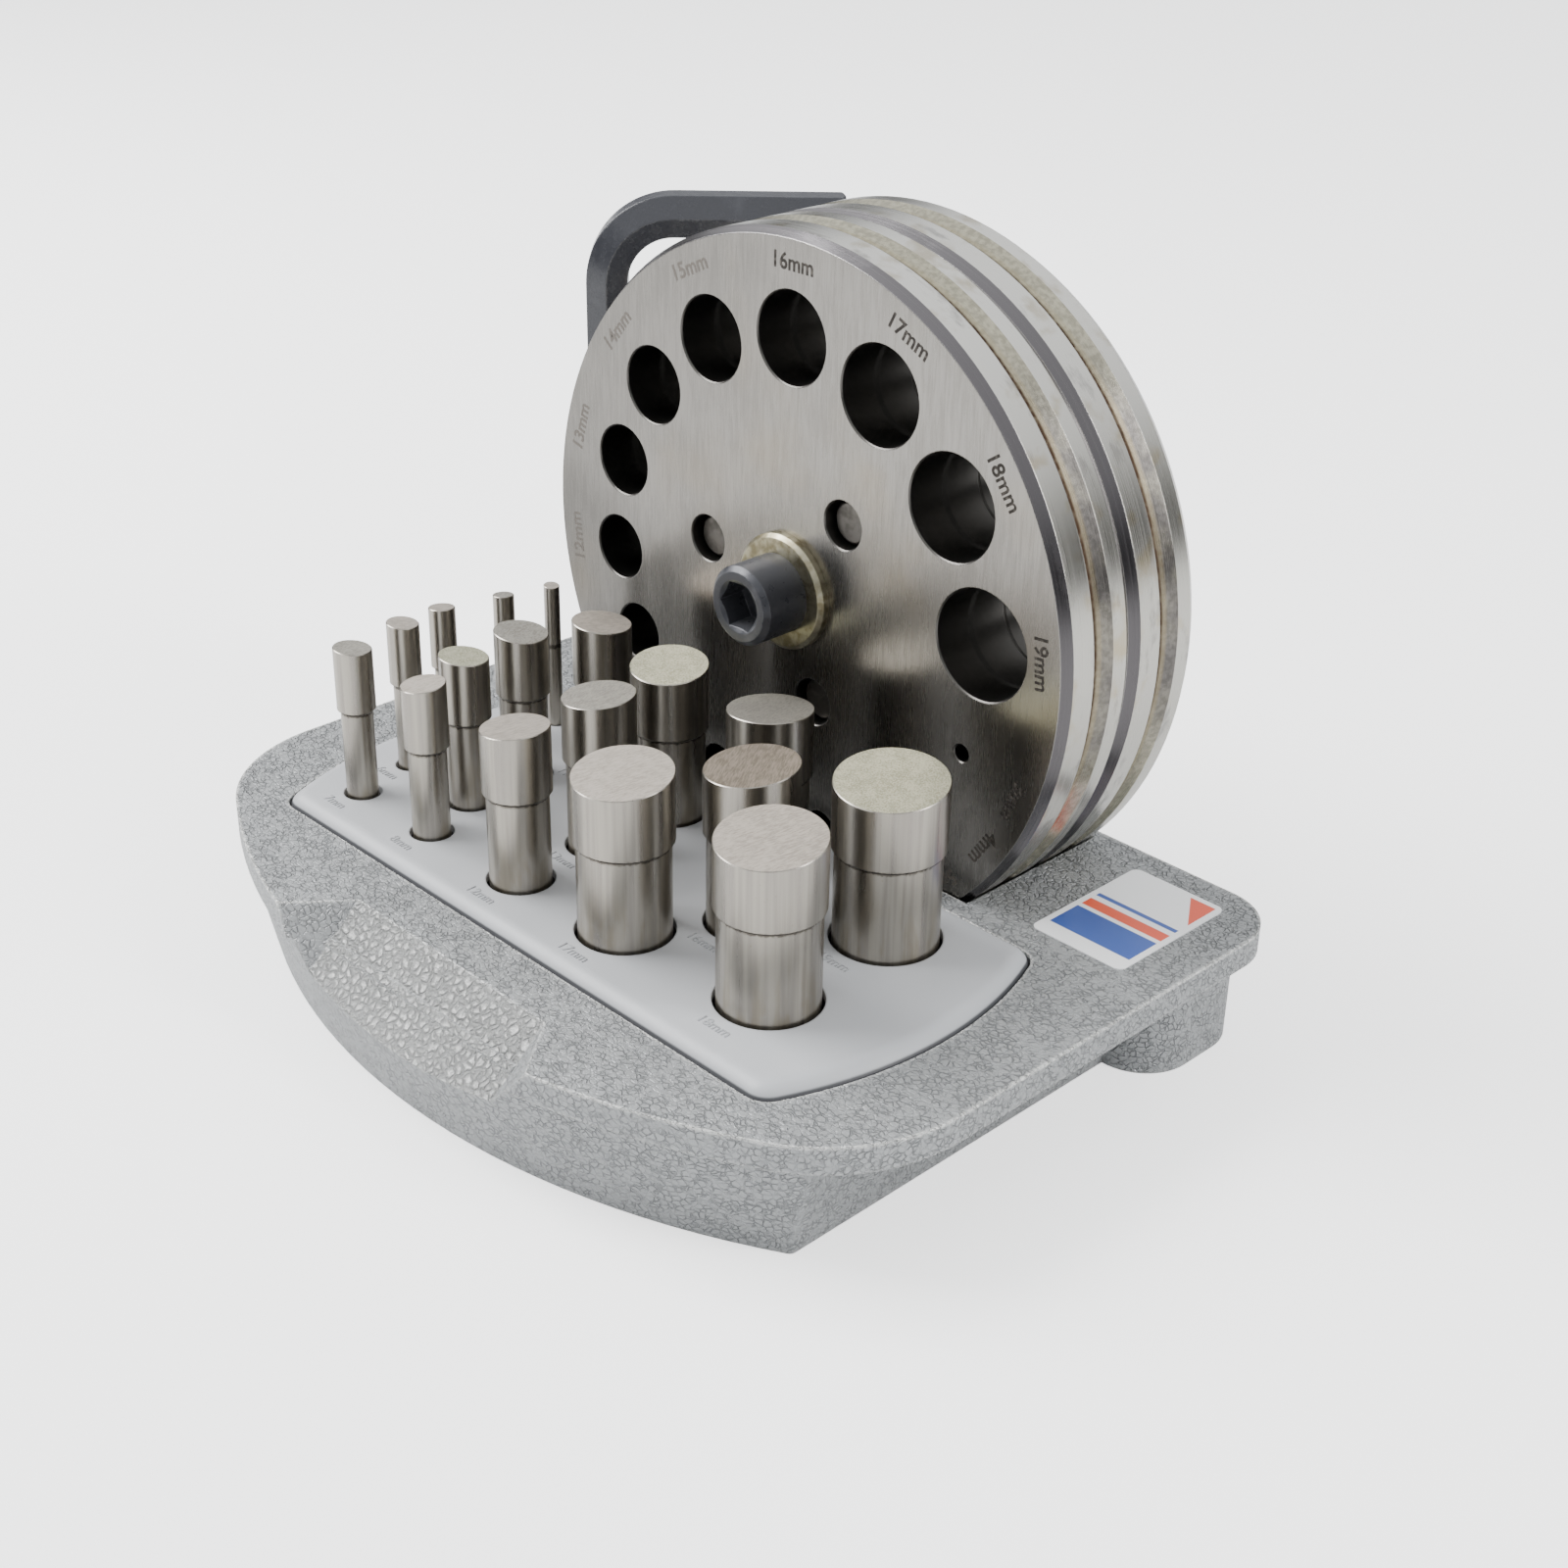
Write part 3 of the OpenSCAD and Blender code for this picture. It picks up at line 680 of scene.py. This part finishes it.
@dataclass(frozen=True)
class PrintedLabel:
    """A glossy white film label, printed with plain blue and orange bands."""

    left_mm: float = 57.5
    front_mm: float = 19.0
    width_mm: float = 19.0
    length_mm: float = 28.4
    white: str = "#f3f4f5"
    blue: str = "#3c59a4"
    orange: str = "#e2583a"

    def band(self, shader: Shader, along: Socket, middle: float, half: float) -> Socket:
        """Draw one printed band.

        Args:
            shader: The label's shader.
            along: The place along the label, from 0 to 1.
            middle: The band's middle, in the same measure.
            half: Half the band's width.

        Returns:
            1 inside the band and 0 outside.
        """
        tree = shader.tree
        away = calc(tree, "ABSOLUTE", minus(tree, along, middle))
        return ramp(tree, away, half - 0.004, half + 0.004, 1.0, 0.0)

    def build(self) -> bpy.types.Material:
        """Build the label's print.

        Returns:
            The new material.
        """
        shader = Shader("printed_film_label")
        tree = shader.tree
        u = calc(tree, "DIVIDE", minus(tree, shader.axes[0], self.left_mm * MM), self.width_mm * MM)
        v = calc(tree, "DIVIDE", minus(tree, shader.axes[1], self.front_mm * MM), self.length_mm * MM)
        blue = self.band(shader, v, 0.26, 0.13)
        orange = self.band(shader, v, 0.47, 0.045)
        thin = self.band(shader, v, 0.58, 0.018)
        corner = ramp(tree, plus(tree, u, v), 1.62, 1.63)
        margin_u = calc(tree, "LESS_THAN", calc(tree, "ABSOLUTE", minus(tree, u, 0.5)), 0.44)
        margin_v = calc(tree, "LESS_THAN", calc(tree, "ABSOLUTE", minus(tree, v, 0.5)), 0.46)
        inside = times(tree, margin_u, margin_v)
        base = blend(tree, times(tree, blue, inside), linear(self.white), linear(self.blue))
        base = blend(tree, times(tree, orange, inside), base, linear(self.orange))
        base = blend(tree, times(tree, thin, inside), base, linear(self.blue))
        base = blend(tree, times(tree, corner, inside), base, linear(self.orange))
        shader.put("Base Color", base)
        shader.put("Roughness", 0.28)
        shader.put("IOR", 1.5)
        shader.relief(noise(tree, shader.place, 3.0, 2.0), 0.01)
        return shader.material


@dataclass(frozen=True)
class EtchedMark:
    """Electro-etched figures: thin, brown-black and matt, worn fainter on the left and low down."""

    ink: str = "#2f2b27"
    faint: str = "#7d7770"

    def build(self) -> bpy.types.Material:
        """Build the etched mark.

        Returns:
            The new material.
        """
        shader = Shader("etched_figures")
        tree = shader.tree
        patchy = noise(tree, shader.place, 0.6, 3.0)
        worn = calc(tree, "MAXIMUM", ramp(tree, shader.axes[0], -22.0 * MM, -4.0 * MM, 0.75, 0.0),
                    ramp(tree, shader.axes[2], 24.0 * MM, 40.0 * MM, 0.7, 0.0))
        fade = calc(tree, "MAXIMUM", worn, ramp(tree, patchy, 0.45, 0.75, 0.0, 0.5))
        shader.put("Base Color", blend(tree, fade, linear(self.ink), linear(self.faint)))
        shader.put("Metallic", 0.6)
        shader.put("Roughness", 0.6)
        return shader.material


# ---------------------------------------------------------------- pieces


def dress(node: str, material: bpy.types.Material) -> None:
    """Put a finish on one constructed node.

    Args:
        node: The node's name.
        material: The finish for every slot of its mesh.
    """
    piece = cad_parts[node]
    if not piece.material_slots:
        piece.data.materials.append(material)
    for slot in piece.material_slots:
        slot.material = material
    log.info("%s: %s", node, material.name)


def lettering(text: str, height_mm: float, depth_mm: float, stroke: float = 0.0) -> bmesh.types.BMesh:
    """Make plain figures as a closed mesh, lying in XY, centred, in metres.

    Args:
        text: The figures.
        height_mm: The height of a digit.
        depth_mm: The thickness, rising from Z = 0.
        stroke: How much each side of a stroke is fattened, as a part of the size.

    Returns:
        A new bmesh.
    """
    curve = bpy.data.curves.new("figures", "FONT")
    curve.body = text
    curve.align_x = "CENTER"
    curve.align_y = "CENTER"
    curve.size = height_mm * MM / DIGIT_SHARE
    curve.extrude = depth_mm * MM / 2
    curve.offset = stroke * curve.size
    curve.resolution_u = 3
    holder = bpy.data.objects.new("figures", curve)
    bpy.context.scene.collection.objects.link(holder)
    bpy.context.view_layer.update()
    mesh = bpy.data.meshes.new_from_object(holder.evaluated_get(bpy.context.evaluated_depsgraph_get()))
    shape = bmesh.new()
    shape.from_mesh(mesh)
    bmesh.ops.translate(shape, verts=shape.verts, vec=(0, 0, depth_mm * MM / 2))
    bpy.data.objects.remove(holder)
    bpy.data.meshes.remove(mesh)
    bpy.data.curves.remove(curve)
    return shape


def joined(name: str, shapes: list[bmesh.types.BMesh], material: bpy.types.Material) -> bpy.types.Object:
    """Join several shapes into one object with one finish.

    Args:
        name: The object's name.
        shapes: The shapes, which are freed.
        material: The finish.

    Returns:
        The new object, at the origin.
    """
    whole = bmesh.new()
    for shape in shapes:
        part = bpy.data.meshes.new("part")
        shape.to_mesh(part)
        shape.free()
        whole.from_mesh(part)
        bpy.data.meshes.remove(part)
    bmesh.ops.remove_doubles(whole, verts=whole.verts, dist=WELD)
    mesh = bpy.data.meshes.new(name)
    whole.to_mesh(mesh)
    whole.free()
    mesh.materials.append(material)
    piece = bpy.data.objects.new(name, mesh)
    bpy.context.scene.collection.objects.link(piece)
    return piece


@dataclass(frozen=True)
class TurnedBar:
    """One round bar with a broken foot, a thinner shank, a head and a ground end.

    Its rings follow a rule, so one Geometry Nodes tree turns every bar, and
    sets several of them on a circle where they repeat. Sizes are in metres.
    """

    length: float
    diameter: float
    shank_diameter: float
    head_length: float
    foot_break: float
    rim_break: float
    grind_slope: float = 0.0
    grind_direction: float = 0.0
    count: int = 1
    circle_radius: float = 0.0
    place: tuple[float, float, float] = (0.0, 0.0, 0.0)
    turn: tuple[float, float, float] = (0.0, 0.0, 0.0)

    @staticmethod
    def tree() -> bpy.types.NodeTree:
        """Build the tree that turns a bar, unless it is there already.

        Returns:
            The tree.
        """
        name = "turned_bar"
        if name in bpy.data.node_groups:
            return bpy.data.node_groups[name]
        tree = bpy.data.node_groups.new(name, "GeometryNodeTree")
        measures = ("Length", "Diameter", "Shank Diameter", "Head Length", "Foot Break", "Rim Break",
                    "Grind Slope", "Grind Direction", "Circle Radius")
        kinds = dict.fromkeys(measures, "Float")
        kinds |= {"Count": "Int", "Place": "Vector", "Turn": "Vector", "Finish": "Material"}
        for label, kind in kinds.items():
            tree.interface.new_socket(label, in_out="INPUT", socket_type=f"NodeSocket{kind}")
        tree.interface.new_socket("Geometry", in_out="OUTPUT", socket_type="NodeSocketGeometry")
        size = add(tree, "NodeGroupInput").outputs
        radius = times(tree, size["Diameter"], 0.5)
        shank = times(tree, size["Shank Diameter"], 0.5)
        neck = minus(tree, size["Length"], size["Head Length"])
        rings = [(minus(tree, shank, size["Foot Break"]), 0.0),
                 (shank, size["Foot Break"]),
                 (shank, minus(tree, neck, minus(tree, radius, shank))),
                 (radius, neck),
                 (radius, minus(tree, size["Length"], size["Rim Break"])),
                 (minus(tree, radius, size["Rim Break"]), size["Length"])]
        steps = len(rings) - 1
        blank = add(tree, "GeometryNodeMeshCylinder",
                    {"Vertices": BAR_SIDES, "Side Segments": steps, "Radius": 1.0, "Depth": float(steps)})
        position = add(tree, "GeometryNodeInputPosition").outputs[0]
        around = add(tree, "ShaderNodeSeparateXYZ", {0: position}).outputs
        level = calc(tree, "ROUND", plus(tree, around[2], steps / 2))
        picks = []
        for column in range(2):
            pick = add(tree, "GeometryNodeIndexSwitch", data_type="FLOAT")
            for _ in range(steps - 1):
                pick.index_switch_items.new()
            tree.links.new(level, pick.inputs["Index"])
            for number, ring in enumerate(rings):
                socket = pick.inputs[number + 1]
                if isinstance(ring[column], bpy.types.NodeSocket):
                    tree.links.new(ring[column], socket)
                else:
                    socket.default_value = ring[column]
            picks.append(pick.outputs[0])
        x = times(tree, around[0], picks[0])
        y = times(tree, around[1], picks[0])
        downhill = plus(tree,
                        times(tree, x, calc(tree, "COSINE", size["Grind Direction"])),
                        times(tree, y, calc(tree, "SINE", size["Grind Direction"])))
        ground = times(tree, calc(tree, "GREATER_THAN", level, steps - 1.5), downhill)
        z = minus(tree, picks[1], times(tree, ground, size["Grind Slope"]))
        turned = add(tree, "GeometryNodeSetPosition", {
            "Geometry": blank.outputs["Mesh"],
            "Position": add(tree, "ShaderNodeCombineXYZ", {0: x, 1: y, 2: z}).outputs[0]})
        clean = add(tree, "GeometryNodeMergeByDistance", {"Geometry": turned.outputs[0], "Distance": 1e-6})
        share = calc(tree, "DIVIDE", math.tau, size["Count"])
        angle = times(tree, add(tree, "GeometryNodeInputIndex").outputs[0], share)
        spot = add(tree, "ShaderNodeCombineXYZ", {
            0: times(tree, size["Circle Radius"], calc(tree, "COSINE", angle)),
            1: times(tree, size["Circle Radius"], calc(tree, "SINE", angle))})
        spots = add(tree, "GeometryNodePoints", {"Count": size["Count"], "Position": spot.outputs[0]})
        bars = add(tree, "GeometryNodeInstanceOnPoints",
                   {"Points": spots.outputs[0], "Instance": clean.outputs[0]})
        placed = add(tree, "GeometryNodeTransform",
                     {"Geometry": bars.outputs[0], "Translation": size["Place"], "Rotation": size["Turn"]})
        real = add(tree, "GeometryNodeRealizeInstances", {"Geometry": placed.outputs[0]})
        finished = add(tree, "GeometryNodeSetMaterial",
                       {"Geometry": real.outputs[0], "Material": size["Finish"]})
        out = add(tree, "NodeGroupOutput", {0: finished.outputs[0]})
        out.is_active_output = True
        return tree

    def build(self, name: str, finish: bpy.types.Material) -> bpy.types.Object:
        """Turn the bar and return it as a plain mesh object.

        Args:
            name: The object's name.
            finish: Its material.

        Returns:
            The new object, at the origin.
        """
        values = {"Length": self.length, "Diameter": self.diameter,
                  "Shank Diameter": self.shank_diameter, "Head Length": self.head_length,
                  "Foot Break": self.foot_break, "Rim Break": self.rim_break,
                  "Grind Slope": self.grind_slope, "Grind Direction": self.grind_direction,
                  "Count": self.count, "Circle Radius": self.circle_radius,
                  "Place": self.place, "Turn": self.turn, "Finish": finish}
        tree = self.tree()
        piece = bpy.data.objects.new(name, bpy.data.meshes.new(name))
        bpy.context.scene.collection.objects.link(piece)
        lathe = piece.modifiers.new("lathe", "NODES")
        lathe.node_group = tree
        for item in tree.interface.items_tree:
            if item.in_out == "INPUT":
                lathe[item.identifier] = values[item.name]
        bpy.context.view_layer.update()
        shape = piece.evaluated_get(bpy.context.evaluated_depsgraph_get())
        mesh = bpy.data.meshes.new_from_object(shape)
        piece.modifiers.remove(lathe)
        piece.data = mesh
        mesh.name = name
        mesh.materials.clear()
        mesh.materials.append(finish)
        for face in mesh.polygons:
            face.use_smooth = True
        mesh.set_sharp_from_angle(angle=SHARP_ANGLE)
        return piece


@dataclass
class DiePlates:
    """The two round plates, their pins, the washer and the screw."""

    sizes: range = range(3, 20)
    last_angle_deg: float = 5.5
    gap_first_deg: float = 12.4
    gap_step_deg: float = 1.125
    mark_r_mm: float = 57.4
    mark_h_mm: float = 2.7
    face_mm: float = 17.0
    axis_mm: float = 66.5
    pin_d_mm: float = 8.0
    pin_circle_r_mm: float = 20.5
    pin_break_mm: float = 0.6
    first_pin_deg: float = 50.0
    pins: int = 3

    def guide_pins(self) -> bpy.types.Object:
        """Turn the three guide pins, which stand along Y round the screw.

        Returns:
            The pins as one object, at the origin.
        """
        low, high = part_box("guide_pins")
        rim_break = 0.1
        bar = TurnedBar(
            length=high.y - low.y, diameter=self.pin_d_mm * MM, shank_diameter=self.pin_d_mm * MM,
            head_length=self.pin_d_mm * MM, foot_break=self.pin_break_mm * MM, rim_break=rim_break * MM,
            count=self.pins, circle_radius=self.pin_circle_r_mm * MM,
            place=(0.0, low.y, self.axis_mm * MM),
            turn=(math.radians(-90), math.radians(-self.first_pin_deg), 0.0))
        return bar.build("guide_pins_turned", PinSteel().build())

    def hole_angle(self, size: int) -> float:
        """Return the angle of one hole, in degrees from +X, seen from the front."""
        steps = range(size, self.sizes[-1])
        return self.last_angle_deg + sum(
            self.gap_first_deg + self.gap_step_deg * (step - self.sizes[0]) for step in steps)

    def marks(self) -> bpy.types.Object:
        """Make the size marks, tops outwards, round the front plate's face.

        Returns:
            One object with all the marks.
        """
        stand_up = Matrix.Rotation(math.radians(90), 4, "X")
        shapes = []
        for size in self.sizes:
            angle = self.hole_angle(size)
            shape = lettering(f"{size}mm", self.mark_h_mm, 0.04, 0.02)
            turn = Matrix.Rotation(math.radians(90 - angle), 4, "Y")
            out = Vector((math.cos(math.radians(angle)), 0, math.sin(math.radians(angle)))) * self.mark_r_mm
            place = Matrix.Translation(Vector((out.x, self.face_mm + 0.02, self.axis_mm + out.z)) * MM)
            bmesh.ops.transform(shape, matrix=place @ turn @ stand_up, verts=shape.verts)
            shapes.append(shape)
        return joined("size_marks", shapes, EtchedMark().build())

    def build(self) -> None:
        """Dress the plates and make their marks."""
        steel = GroundPlateSteel().build()
        dress("front_plate", steel)
        dress("back_plate", steel)
        pins = self.guide_pins()
        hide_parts("guide_pins")
        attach(pins, "rear_die")
        log.info("%s: %d pins", pins.name, self.pins)
        dress("clamp_washer", ZincPlate().build())
        dress("clamp_screw", BlackOxide().build())
        marks = self.marks()
        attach(marks, "front_die")
        log.info("%s: %d marks", marks.name, len(self.sizes))


@dataclass
class PunchSet:
    """The punches and the rack that they stand in."""

    sizes: range = range(3, 20)
    mark_h_mm: float = 1.9
    mark_gap_mm: float = 2.6
    rack_top_mm: float = 24.9
    marked: range = range(6, 20)
    head_mm: float = 11.7
    relief_mm: float = 1.2
    foot_break_mm: float = 0.4
    rim_break_mm: float = 0.14
    shear_deg: float = 6.0
    ends: dict[int, GroundEnd] = field(default_factory=lambda: {
        4: GroundEnd.GREY, 7: GroundEnd.GREY, 9: GroundEnd.CREAM, 10: GroundEnd.GREY, 13: GroundEnd.GREY,
        14: GroundEnd.CREAM, 15: GroundEnd.GREY, 16: GroundEnd.BROWN, 19: GroundEnd.CREAM})
    downhill_deg: tuple[int, ...] = (0, 140, 140, 50, 60, 220, 60, 40, 60, 180,
                                     195, -60, 140, 215, -80, -70, -60)

    def punch(self, size: int, finish: bpy.types.Material) -> bpy.types.Object:
        """Turn one punch where its node stands.

        Args:
            size: The punch's size, in millimetres.
            finish: Its material.

        Returns:
            The punch, at the origin.
        """
        first = self.sizes[0]
        low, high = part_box(f"punch_{size:02d}")
        slope = math.tan(math.radians(self.shear_deg))
        thinner = min(self.relief_mm, (size - first) * self.relief_mm / 2)
        middle = (low + high) / 2
        bar = TurnedBar(
            length=high.z - low.z - slope * size / 2 * MM,
            diameter=size * MM, shank_diameter=(size - thinner) * MM,
            head_length=self.head_mm * MM, foot_break=self.foot_break_mm * MM,
            rim_break=min(self.rim_break_mm, size / 40) * MM, grind_slope=slope,
            grind_direction=math.radians(self.downhill_deg[size - first]), place=(middle.x, middle.y, low.z))
        return bar.build(f"punch_{size:02d}_turned", finish)

    def marks(self, plastic: bpy.types.Material) -> bpy.types.Object:
        """Make the low moulded size marks beside the rack's larger holes.

        Args:
            plastic: The rack's own plastic.

        Returns:
            One object with all the marks.
        """
        shapes = []
        for size in self.marked:
            low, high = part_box(f"punch_{size:02d}")
            middle = (low + high) / 2
            shape = lettering(f"{size}mm", self.mark_h_mm, 0.12)
            beside = Vector((middle.x, low.y - self.mark_gap_mm * MM, (self.rack_top_mm - 0.02) * MM))
            bmesh.ops.transform(shape, matrix=Matrix.Translation(beside), verts=shape.verts)
            shapes.append(shape)
        return joined("rack_marks", shapes, plastic)

    def build(self) -> None:
        """Dress the rack and each punch."""
        plastic = MouldedPlastic().build()
        dress("punch_rack", plastic)
        finishes = {end: PunchSteel(end=end).build() for end in GroundEnd}
        for size in self.sizes:
            node = f"punch_{size:02d}"
            piece = self.punch(size, finishes[self.ends.get(size, GroundEnd.PALE)])
            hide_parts(node)
            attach(piece, node)
            log.info("%s: %s", piece.name, piece.data.materials[0].name)
        marks = self.marks(plastic)
        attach(marks, "stand")


@dataclass
class Stand:
    """The cast stand, its label and the key that stands in its foot."""

    def build(self) -> None:
        """Dress the stand, the label and the hex key."""
        dress("base_casting", HammeredEnamel().build())
        dress("label", PrintedLabel().build())
        dress("hex_key", BlackOxide("black_lacquered_bar", "#34353a", "#5a5b60", 0.23, 0.5, 0.0).build())


# ---------------------------------------------------------------- studio


@dataclass
class Studio:
    """A pale floor, soft lights and the camera at the photograph's place."""

    camera_mm: tuple[float, float, float] = (257.7, -236.8, 220.4)
    azimuth_deg: float = 46.27
    elevation_deg: float = 27.13
    roll_deg: float = 0.67
    focal_px: float = 2297.6
    centre_px: tuple[float, float] = (769.4, 765.0)
    frame_px: float = 1600.0
    horizon: tuple[float, float] = (0.12, 0.5)
    room_light: tuple[float, float] = (0.12, 1.2)
    paper: str = "#f6f6f6"
    lift: float = 1.4

    def camera(self) -> None:
        """Make the camera and set it as the scene's."""
        azimuth, elevation, roll = (math.radians(a) for a in
                                    (self.azimuth_deg, self.elevation_deg, self.roll_deg))
        back = Vector((math.sin(azimuth) * math.cos(elevation), -math.cos(azimuth) * math.cos(elevation),
                       math.sin(elevation)))
        level = Vector((math.cos(azimuth), math.sin(azimuth), 0))
        right = level * math.cos(roll) + back.cross(level) * math.sin(roll)
        up = back.cross(right)
        lens = bpy.data.cameras.new("camera")
        lens.sensor_width = 36
        lens.lens = self.focal_px / self.frame_px * lens.sensor_width
        lens.shift_x = 0.5 - self.centre_px[0] / self.frame_px
        lens.shift_y = self.centre_px[1] / self.frame_px - 0.5
        lens.clip_start = 0.01
        eye = bpy.data.objects.new("camera", lens)
        turn = Matrix((right, up, back)).transposed().to_4x4()
        eye.matrix_world = Matrix.Translation(Vector(self.camera_mm) * MM) @ turn
        bpy.context.scene.collection.objects.link(eye)
        bpy.context.scene.camera = eye

    def light(self, name: str, place: tuple, size: tuple, power: float, target: tuple = (0, 0, 0.05)) -> None:
        """Hang one soft box, aimed at the object.

        Args:
            name: The light's name.
            place: Where it hangs, in metres.
            size: Its width and height, in metres.
            power: Its power, in watts.
            target: What it is aimed at, in metres.
        """
        lamp = bpy.data.lights.new(name, "AREA")
        lamp.shape = "RECTANGLE"
        lamp.size, lamp.size_y = size
        lamp.energy = power
        box = bpy.data.objects.new(name, lamp)
        aim = Vector(target) - Vector(place)
        box.matrix_world = Matrix.Translation(place) @ aim.to_track_quat("-Z", "Y").to_matrix().to_4x4()
        bpy.context.scene.collection.objects.link(box)

    def floor(self) -> None:
        """Lay the pale floor."""
        shader = Shader("studio_paper")
        seen = add(shader.tree, "ShaderNodeLightPath").outputs["Is Camera Ray"]
        shader.put("Base Color", linear(self.paper))
        shader.put("Roughness", 0.9)
        shader.put("Emission Color", linear(self.paper))
        shader.put("Emission Strength", times(shader.tree, seen, self.lift))
        sheet = bmesh.new()
        bmesh.ops.create_grid(sheet, x_segments=1, y_segments=1, size=4.0)
        floor = joined("floor", [sheet], shader.material)

    def surroundings(self) -> None:
        """Fill the room with pale light from above, over a darker horizon."""
        world = bpy.data.worlds.new("room")
        world.use_nodes = True
        tree = world.node_tree
        direction = add(tree, "ShaderNodeTexCoord").outputs["Generated"]
        height = add(tree, "ShaderNodeSeparateXYZ", {0: direction}).outputs[2]
        strength = ramp(tree, height, self.horizon[0], self.horizon[1], *self.room_light)
        backdrop = tree.nodes["Background"]
        backdrop.inputs["Color"].default_value = linear("#f8fafc")
        tree.links.new(strength, backdrop.inputs["Strength"])
        bpy.context.scene.world = world

    def build(self) -> None:
        """Set up the whole studio."""
        self.camera()
        self.floor()
        self.surroundings()
        self.light("key", (-0.7, -0.35, 0.8), (0.7, 0.7), 20)
        self.light("side", (0.9, 0.35, 0.55), (0.3, 0.8), 8)


def main() -> None:
    """Dress the disc cutter, build its marks and set up the studio."""
    logging.basicConfig(level=logging.INFO, format="%(message)s")
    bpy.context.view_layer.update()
    Stand().build()
    PunchSet().build()
    DiePlates().build()
    Studio().build()


if __name__ == "__main__":
    main()
